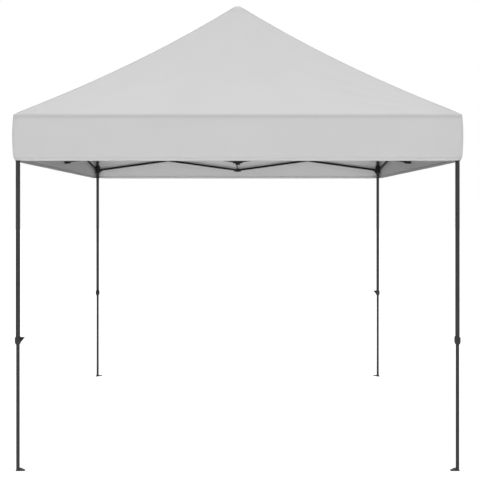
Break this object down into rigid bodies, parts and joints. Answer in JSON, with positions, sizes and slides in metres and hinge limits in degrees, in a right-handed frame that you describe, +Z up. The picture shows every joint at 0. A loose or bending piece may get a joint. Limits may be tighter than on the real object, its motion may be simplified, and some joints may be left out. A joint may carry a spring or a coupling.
{
  "type": "pop up gazebo",
  "caption": "Square folding gazebo: scissor frame on telescopic legs, centre mast, hipped fabric canopy with a straight valance.",
  "frame": {"origin": "on the ground under the mast, in the middle of the four feet", "axes": "+Z up; -Y is the front side; X and Y run along the sides"},
  "size_m": [3, 3, 3.487],
  "materials": {
    "canopy_fabric": "matt coated woven polyester",
    "frame_steel": "satin powder coat",
    "inner_leg_steel": "satin powder coat",
    "mast_steel": "satin powder coat",
    "bracket_nylon": "moulded, fine texture",
    "control_nylon": "moulded, fine texture"
  },
  "bodies": {
    "centre_hub": {"hub_upper": "bracket_nylon", "canopy": "canopy_fabric"},
    "truss_bar_plain_front": {"truss_bar_plain_front": "frame_steel"},
    "truss_bar_riveted_front": {"truss_bar_riveted_front": "frame_steel"},
    "lower_connector_front": {"lower_connector_front": "bracket_nylon"},
    "upper_connector_front": {"upper_connector_front": "bracket_nylon"},
    "lower_hub": {"hub_lower": "bracket_nylon"},
    "side_bar_plain_front_left": {"side_bar_plain_front_left": "frame_steel"},
    "side_bar_plain_front_right": {"side_bar_plain_front_right": "frame_steel"},
    "side_bar_riveted_front_left": {"side_bar_riveted_front_left": "frame_steel"},
    "side_bar_riveted_front_right": {"side_bar_riveted_front_right": "frame_steel"},
    "leg_front_left": {"leg_tube_front_left": "frame_steel", "top_bracket_front_left": "bracket_nylon"},
    "slider_front_left": {"slider_front_left": "bracket_nylon"},
    "inner_leg_front_left": {"inner_leg_front_left": "inner_leg_steel"},
    "lock_lever_front_left": {"lock_lever_front_left": "control_nylon"},
    "slider_button_front_left": {"slider_button_front_left": "control_nylon"},
    "truss_bar_plain_right": {"truss_bar_plain_right": "frame_steel"},
    "truss_bar_riveted_right": {"truss_bar_riveted_right": "frame_steel"},
    "lower_connector_right": {"lower_connector_right": "bracket_nylon"},
    "upper_connector_right": {"upper_connector_right": "bracket_nylon"},
    "side_bar_plain_right_left": {"side_bar_plain_right_left": "frame_steel"},
    "side_bar_plain_right_right": {"side_bar_plain_right_right": "frame_steel"},
    "side_bar_riveted_right_left": {"side_bar_riveted_right_left": "frame_steel"},
    "side_bar_riveted_right_right": {"side_bar_riveted_right_right": "frame_steel"},
    "leg_front_right": {"leg_tube_front_right": "frame_steel", "top_bracket_front_right": "bracket_nylon"},
    "slider_front_right": {"slider_front_right": "bracket_nylon"},
    "inner_leg_front_right": {"inner_leg_front_right": "inner_leg_steel"},
    "lock_lever_front_right": {"lock_lever_front_right": "control_nylon"},
    "slider_button_front_right": {"slider_button_front_right": "control_nylon"},
    "truss_bar_plain_back": {"truss_bar_plain_back": "frame_steel"},
    "truss_bar_riveted_back": {"truss_bar_riveted_back": "frame_steel"},
    "lower_connector_back": {"lower_connector_back": "bracket_nylon"},
    "upper_connector_back": {"upper_connector_back": "bracket_nylon"},
    "side_bar_plain_back_left": {"side_bar_plain_back_left": "frame_steel"},
    "side_bar_plain_back_right": {"side_bar_plain_back_right": "frame_steel"},
    "side_bar_riveted_back_left": {"side_bar_riveted_back_left": "frame_steel"},
    "side_bar_riveted_back_right": {"side_bar_riveted_back_right": "frame_steel"},
    "leg_back_right": {"leg_tube_back_right": "frame_steel", "top_bracket_back_right": "bracket_nylon"},
    "slider_back_right": {"slider_back_right": "bracket_nylon"},
    "inner_leg_back_right": {"inner_leg_back_right": "inner_leg_steel"},
    "lock_lever_back_right": {"lock_lever_back_right": "control_nylon"},
    "slider_button_back_right": {"slider_button_back_right": "control_nylon"},
    "truss_bar_plain_left": {"truss_bar_plain_left": "frame_steel"},
    "truss_bar_riveted_left": {"truss_bar_riveted_left": "frame_steel"},
    "lower_connector_left": {"lower_connector_left": "bracket_nylon"},
    "upper_connector_left": {"upper_connector_left": "bracket_nylon"},
    "side_bar_plain_left_left": {"side_bar_plain_left_left": "frame_steel"},
    "side_bar_plain_left_right": {"side_bar_plain_left_right": "frame_steel"},
    "side_bar_riveted_left_left": {"side_bar_riveted_left_left": "frame_steel"},
    "side_bar_riveted_left_right": {"side_bar_riveted_left_right": "frame_steel"},
    "leg_back_left": {"leg_tube_back_left": "frame_steel", "top_bracket_back_left": "bracket_nylon"},
    "slider_back_left": {"slider_back_left": "bracket_nylon"},
    "inner_leg_back_left": {"inner_leg_back_left": "inner_leg_steel"},
    "lock_lever_back_left": {"lock_lever_back_left": "control_nylon"},
    "slider_button_back_left": {"slider_button_back_left": "control_nylon"},
    "mast_head": {"mast_head": "mast_steel"}
  },
  "joints": [
    {"name": "fold", "type": "hinge", "parent": "centre_hub", "child": "truss_bar_plain_front", "pos_m": [0.0055, -0.033, 2.357], "axis": [1, 0, 0], "range_deg": [0, 79.09]},
    {"name": "lower_connector_pin_front", "type": "hinge", "parent": "truss_bar_plain_front", "child": "lower_connector_front", "pos_m": [0.0055, -1.44325, 2.161], "axis": [-1, 0, 0], "range_deg": [0, 79.11]},
    {"name": "truss_crossing_front", "type": "hinge", "parent": "truss_bar_plain_front", "child": "truss_bar_riveted_front", "pos_m": [-0.0055, -0.73813, 2.259], "axis": [-1, 0, 0], "range_deg": [0, 158.19]},
    {"name": "upper_connector_pin_front", "type": "hinge", "parent": "truss_bar_riveted_front", "child": "upper_connector_front", "pos_m": [-0.0055, -1.44325, 2.357], "axis": [1, 0, 0], "range_deg": [0, 79.11]},
    {"name": "lower_hub_pin", "type": "hinge", "parent": "truss_bar_riveted_front", "child": "lower_hub", "pos_m": [-0.0055, -0.033, 2.161], "axis": [1, 0, 0], "range_deg": [0, 79.11]},
    {"name": "side_pin_front_left", "type": "hinge", "parent": "lower_connector_front", "child": "side_bar_plain_front_left", "pos_m": [-0.028, -1.46575, 2.161], "axis": [0, 1, 0], "range_deg": [0, 79.11]},
    {"name": "side_pin_front_right", "type": "hinge", "parent": "lower_connector_front", "child": "side_bar_plain_front_right", "pos_m": [0.028, -1.46575, 2.161], "axis": [0, -1, 0], "range_deg": [0, 79.11]},
    {"name": "side_crossing_front_left", "type": "hinge", "parent": "side_bar_plain_front_left", "child": "side_bar_riveted_front_left", "pos_m": [-0.73313, -1.47675, 2.259], "axis": [0, -1, 0], "range_deg": [0, 158.19]},
    {"name": "side_crossing_front_right", "type": "hinge", "parent": "side_bar_plain_front_right", "child": "side_bar_riveted_front_right", "pos_m": [0.73313, -1.47675, 2.259], "axis": [0, 1, 0], "range_deg": [0, 158.19]},
    {"name": "leg_pin_front_left", "type": "hinge", "parent": "side_bar_plain_front_left", "child": "leg_front_left", "pos_m": [-1.43825, -1.46575, 2.357], "axis": [0, -1, 0], "range_deg": [0, 79.11]},
    {"name": "slider_pin_front_left", "type": "hinge", "parent": "side_bar_riveted_front_left", "child": "slider_front_left", "pos_m": [-1.43825, -1.47675, 2.161], "axis": [0, 1, 0], "range_deg": [0, 79.11]},
    {"name": "leg_extension_front_left", "type": "slide", "parent": "leg_front_left", "child": "inner_leg_front_left", "axis": [0, 0, 1], "range_m": [0, 0.8]},
    {"name": "lock_lever_pull_front_left", "type": "hinge", "parent": "leg_front_left", "child": "lock_lever_front_left", "pos_m": [-1.44525, -1.47125, 0.88595], "axis": [0, -1, 0], "range_deg": [0, 18], "stiffness_Nm_per_rad": 0.6, "springref_deg": -5.73},
    {"name": "slider_button_press_front_left", "type": "slide", "parent": "slider_front_left", "child": "slider_button_front_left", "axis": [-1, 0, 0], "range_m": [0, 0.003], "stiffness_N_per_m": 600, "springref_m": -0.002},
    {"name": "truss_hub_pin_right", "type": "hinge", "parent": "centre_hub", "child": "truss_bar_plain_right", "pos_m": [0.033, 0.0055, 2.357], "axis": [0, 1, 0], "range_deg": [0, 79.11]},
    {"name": "lower_connector_pin_right", "type": "hinge", "parent": "truss_bar_plain_right", "child": "lower_connector_right", "pos_m": [1.44325, 0.0055, 2.161], "axis": [0, -1, 0], "range_deg": [0, 79.11]},
    {"name": "truss_crossing_right", "type": "hinge", "parent": "truss_bar_plain_right", "child": "truss_bar_riveted_right", "pos_m": [0.73813, -0.0055, 2.259], "axis": [0, -1, 0], "range_deg": [0, 158.19]},
    {"name": "upper_connector_pin_right", "type": "hinge", "parent": "truss_bar_riveted_right", "child": "upper_connector_right", "pos_m": [1.44325, -0.0055, 2.357], "axis": [0, 1, 0], "range_deg": [0, 79.11]},
    {"name": "side_pin_right_left", "type": "hinge", "parent": "lower_connector_right", "child": "side_bar_plain_right_left", "pos_m": [1.46575, -0.028, 2.161], "axis": [-1, 0, 0], "range_deg": [0, 79.11]},
    {"name": "side_pin_right_right", "type": "hinge", "parent": "lower_connector_right", "child": "side_bar_plain_right_right", "pos_m": [1.46575, 0.028, 2.161], "axis": [1, 0, 0], "range_deg": [0, 79.11]},
    {"name": "side_crossing_right_left", "type": "hinge", "parent": "side_bar_plain_right_left", "child": "side_bar_riveted_right_left", "pos_m": [1.47675, -0.73313, 2.259], "axis": [1, 0, 0], "range_deg": [0, 158.19]},
    {"name": "side_crossing_right_right", "type": "hinge", "parent": "side_bar_plain_right_right", "child": "side_bar_riveted_right_right", "pos_m": [1.47675, 0.73313, 2.259], "axis": [-1, 0, 0], "range_deg": [0, 158.19]},
    {"name": "leg_pin_front_right", "type": "hinge", "parent": "side_bar_plain_right_left", "child": "leg_front_right", "pos_m": [1.46575, -1.43825, 2.357], "axis": [1, 0, 0], "range_deg": [0, 79.11]},
    {"name": "slider_pin_front_right", "type": "hinge", "parent": "side_bar_riveted_right_left", "child": "slider_front_right", "pos_m": [1.47675, -1.43825, 2.161], "axis": [-1, 0, 0], "range_deg": [0, 79.11]},
    {"name": "leg_extension_front_right", "type": "slide", "parent": "leg_front_right", "child": "inner_leg_front_right", "axis": [0, 0, 1], "range_m": [0, 0.8]},
    {"name": "lock_lever_pull_front_right", "type": "hinge", "parent": "leg_front_right", "child": "lock_lever_front_right", "pos_m": [1.47125, -1.44525, 0.88595], "axis": [1, 0, 0], "range_deg": [0, 18], "stiffness_Nm_per_rad": 0.6, "springref_deg": -5.73},
    {"name": "slider_button_press_front_right", "type": "slide", "parent": "slider_front_right", "child": "slider_button_front_right", "axis": [0, -1, 0], "range_m": [0, 0.003], "stiffness_N_per_m": 600, "springref_m": -0.002},
    {"name": "truss_hub_pin_back", "type": "hinge", "parent": "centre_hub", "child": "truss_bar_plain_back", "pos_m": [-0.0055, 0.033, 2.357], "axis": [-1, 0, 0], "range_deg": [0, 79.11]},
    {"name": "lower_connector_pin_back", "type": "hinge", "parent": "truss_bar_plain_back", "child": "lower_connector_back", "pos_m": [-0.0055, 1.44325, 2.161], "axis": [1, 0, 0], "range_deg": [0, 79.11]},
    {"name": "truss_crossing_back", "type": "hinge", "parent": "truss_bar_plain_back", "child": "truss_bar_riveted_back", "pos_m": [0.0055, 0.73813, 2.259], "axis": [1, 0, 0], "range_deg": [0, 158.19]},
    {"name": "upper_connector_pin_back", "type": "hinge", "parent": "truss_bar_riveted_back", "child": "upper_connector_back", "pos_m": [0.0055, 1.44325, 2.357], "axis": [-1, 0, 0], "range_deg": [0, 79.11]},
    {"name": "side_pin_back_left", "type": "hinge", "parent": "lower_connector_back", "child": "side_bar_plain_back_left", "pos_m": [0.028, 1.46575, 2.161], "axis": [0, -1, 0], "range_deg": [0, 79.11]},
    {"name": "side_pin_back_right", "type": "hinge", "parent": "lower_connector_back", "child": "side_bar_plain_back_right", "pos_m": [-0.028, 1.46575, 2.161], "axis": [0, 1, 0], "range_deg": [0, 79.11]},
    {"name": "side_crossing_back_left", "type": "hinge", "parent": "side_bar_plain_back_left", "child": "side_bar_riveted_back_left", "pos_m": [0.73313, 1.47675, 2.259], "axis": [0, 1, 0], "range_deg": [0, 158.19]},
    {"name": "side_crossing_back_right", "type": "hinge", "parent": "side_bar_plain_back_right", "child": "side_bar_riveted_back_right", "pos_m": [-0.73313, 1.47675, 2.259], "axis": [0, -1, 0], "range_deg": [0, 158.19]},
    {"name": "leg_pin_back_right", "type": "hinge", "parent": "side_bar_plain_back_left", "child": "leg_back_right", "pos_m": [1.43825, 1.46575, 2.357], "axis": [0, 1, 0], "range_deg": [0, 79.11]},
    {"name": "slider_pin_back_right", "type": "hinge", "parent": "side_bar_riveted_back_left", "child": "slider_back_right", "pos_m": [1.43825, 1.47675, 2.161], "axis": [0, -1, 0], "range_deg": [0, 79.11]},
    {"name": "leg_extension_back_right", "type": "slide", "parent": "leg_back_right", "child": "inner_leg_back_right", "axis": [0, 0, 1], "range_m": [0, 0.8]},
    {"name": "lock_lever_pull_back_right", "type": "hinge", "parent": "leg_back_right", "child": "lock_lever_back_right", "pos_m": [1.44525, 1.47125, 0.88595], "axis": [0, 1, 0], "range_deg": [0, 18], "stiffness_Nm_per_rad": 0.6, "springref_deg": -5.73},
    {"name": "slider_button_press_back_right", "type": "slide", "parent": "slider_back_right", "child": "slider_button_back_right", "axis": [1, 0, 0], "range_m": [0, 0.003], "stiffness_N_per_m": 600, "springref_m": -0.002},
    {"name": "truss_hub_pin_left", "type": "hinge", "parent": "centre_hub", "child": "truss_bar_plain_left", "pos_m": [-0.033, -0.0055, 2.357], "axis": [0, -1, 0], "range_deg": [0, 79.11]},
    {"name": "lower_connector_pin_left", "type": "hinge", "parent": "truss_bar_plain_left", "child": "lower_connector_left", "pos_m": [-1.44325, -0.0055, 2.161], "axis": [0, 1, 0], "range_deg": [0, 79.11]},
    {"name": "truss_crossing_left", "type": "hinge", "parent": "truss_bar_plain_left", "child": "truss_bar_riveted_left", "pos_m": [-0.73813, 0.0055, 2.259], "axis": [0, 1, 0], "range_deg": [0, 158.19]},
    {"name": "upper_connector_pin_left", "type": "hinge", "parent": "truss_bar_riveted_left", "child": "upper_connector_left", "pos_m": [-1.44325, 0.0055, 2.357], "axis": [0, -1, 0], "range_deg": [0, 79.11]},
    {"name": "side_pin_left_left", "type": "hinge", "parent": "lower_connector_left", "child": "side_bar_plain_left_left", "pos_m": [-1.46575, 0.028, 2.161], "axis": [1, 0, 0], "range_deg": [0, 79.11]},
    {"name": "side_pin_left_right", "type": "hinge", "parent": "lower_connector_left", "child": "side_bar_plain_left_right", "pos_m": [-1.46575, -0.028, 2.161], "axis": [-1, 0, 0], "range_deg": [0, 79.11]},
    {"name": "side_crossing_left_left", "type": "hinge", "parent": "side_bar_plain_left_left", "child": "side_bar_riveted_left_left", "pos_m": [-1.47675, 0.73313, 2.259], "axis": [-1, 0, 0], "range_deg": [0, 158.19]},
    {"name": "side_crossing_left_right", "type": "hinge", "parent": "side_bar_plain_left_right", "child": "side_bar_riveted_left_right", "pos_m": [-1.47675, -0.73313, 2.259], "axis": [1, 0, 0], "range_deg": [0, 158.19]},
    {"name": "leg_pin_back_left", "type": "hinge", "parent": "side_bar_plain_left_left", "child": "leg_back_left", "pos_m": [-1.46575, 1.43825, 2.357], "axis": [-1, 0, 0], "range_deg": [0, 79.11]},
    {"name": "slider_pin_back_left", "type": "hinge", "parent": "side_bar_riveted_left_left", "child": "slider_back_left", "pos_m": [-1.47675, 1.43825, 2.161], "axis": [1, 0, 0], "range_deg": [0, 79.11]},
    {"name": "leg_extension_back_left", "type": "slide", "parent": "leg_back_left", "child": "inner_leg_back_left", "axis": [0, 0, 1], "range_m": [0, 0.8]},
    {"name": "lock_lever_pull_back_left", "type": "hinge", "parent": "leg_back_left", "child": "lock_lever_back_left", "pos_m": [-1.47125, 1.44525, 0.88595], "axis": [-1, 0, 0], "range_deg": [0, 18], "stiffness_Nm_per_rad": 0.6, "springref_deg": -5.73},
    {"name": "slider_button_press_back_left", "type": "slide", "parent": "slider_back_left", "child": "slider_button_back_left", "axis": [0, 1, 0], "range_m": [0, 0.003], "stiffness_N_per_m": 600, "springref_m": -0.002},
    {"name": "mast_telescope", "type": "slide", "parent": "lower_hub", "child": "mast_head", "axis": [0, 0, 1], "range_m": [0, 0.1609]}
  ],
  "couplings": [
    {"joint": "lower_connector_pin_front", "follows": "fold", "ratio": 1},
    {"joint": "truss_crossing_front", "follows": "fold", "ratio": 2},
    {"joint": "upper_connector_pin_front", "follows": "fold", "ratio": 1},
    {"joint": "lower_hub_pin", "follows": "fold", "ratio": 1},
    {"joint": "side_pin_front_left", "follows": "fold", "ratio": 1},
    {"joint": "side_pin_front_right", "follows": "fold", "ratio": 1},
    {"joint": "side_crossing_front_left", "follows": "fold", "ratio": 2},
    {"joint": "side_crossing_front_right", "follows": "fold", "ratio": 2},
    {"joint": "leg_pin_front_left", "follows": "fold", "ratio": 1},
    {"joint": "slider_pin_front_left", "follows": "fold", "ratio": 1},
    {"joint": "truss_hub_pin_right", "follows": "fold", "ratio": 1},
    {"joint": "lower_connector_pin_right", "follows": "fold", "ratio": 1},
    {"joint": "truss_crossing_right", "follows": "fold", "ratio": 2},
    {"joint": "upper_connector_pin_right", "follows": "fold", "ratio": 1},
    {"joint": "side_pin_right_left", "follows": "fold", "ratio": 1},
    {"joint": "side_pin_right_right", "follows": "fold", "ratio": 1},
    {"joint": "side_crossing_right_left", "follows": "fold", "ratio": 2},
    {"joint": "side_crossing_right_right", "follows": "fold", "ratio": 2},
    {"joint": "leg_pin_front_right", "follows": "fold", "ratio": 1},
    {"joint": "slider_pin_front_right", "follows": "fold", "ratio": 1},
    {"joint": "truss_hub_pin_back", "follows": "fold", "ratio": 1},
    {"joint": "lower_connector_pin_back", "follows": "fold", "ratio": 1},
    {"joint": "truss_crossing_back", "follows": "fold", "ratio": 2},
    {"joint": "upper_connector_pin_back", "follows": "fold", "ratio": 1},
    {"joint": "side_pin_back_left", "follows": "fold", "ratio": 1},
    {"joint": "side_pin_back_right", "follows": "fold", "ratio": 1},
    {"joint": "side_crossing_back_left", "follows": "fold", "ratio": 2},
    {"joint": "side_crossing_back_right", "follows": "fold", "ratio": 2},
    {"joint": "leg_pin_back_right", "follows": "fold", "ratio": 1},
    {"joint": "slider_pin_back_right", "follows": "fold", "ratio": 1},
    {"joint": "truss_hub_pin_left", "follows": "fold", "ratio": 1},
    {"joint": "lower_connector_pin_left", "follows": "fold", "ratio": 1},
    {"joint": "truss_crossing_left", "follows": "fold", "ratio": 2},
    {"joint": "upper_connector_pin_left", "follows": "fold", "ratio": 1},
    {"joint": "side_pin_left_left", "follows": "fold", "ratio": 1},
    {"joint": "side_pin_left_right", "follows": "fold", "ratio": 1},
    {"joint": "side_crossing_left_left", "follows": "fold", "ratio": 2},
    {"joint": "side_crossing_left_right", "follows": "fold", "ratio": 2},
    {"joint": "leg_pin_back_left", "follows": "fold", "ratio": 1},
    {"joint": "slider_pin_back_left", "follows": "fold", "ratio": 1},
    {"joint": "mast_telescope", "follows": "fold", "m_per_rad": 0.1158}
  ]
}
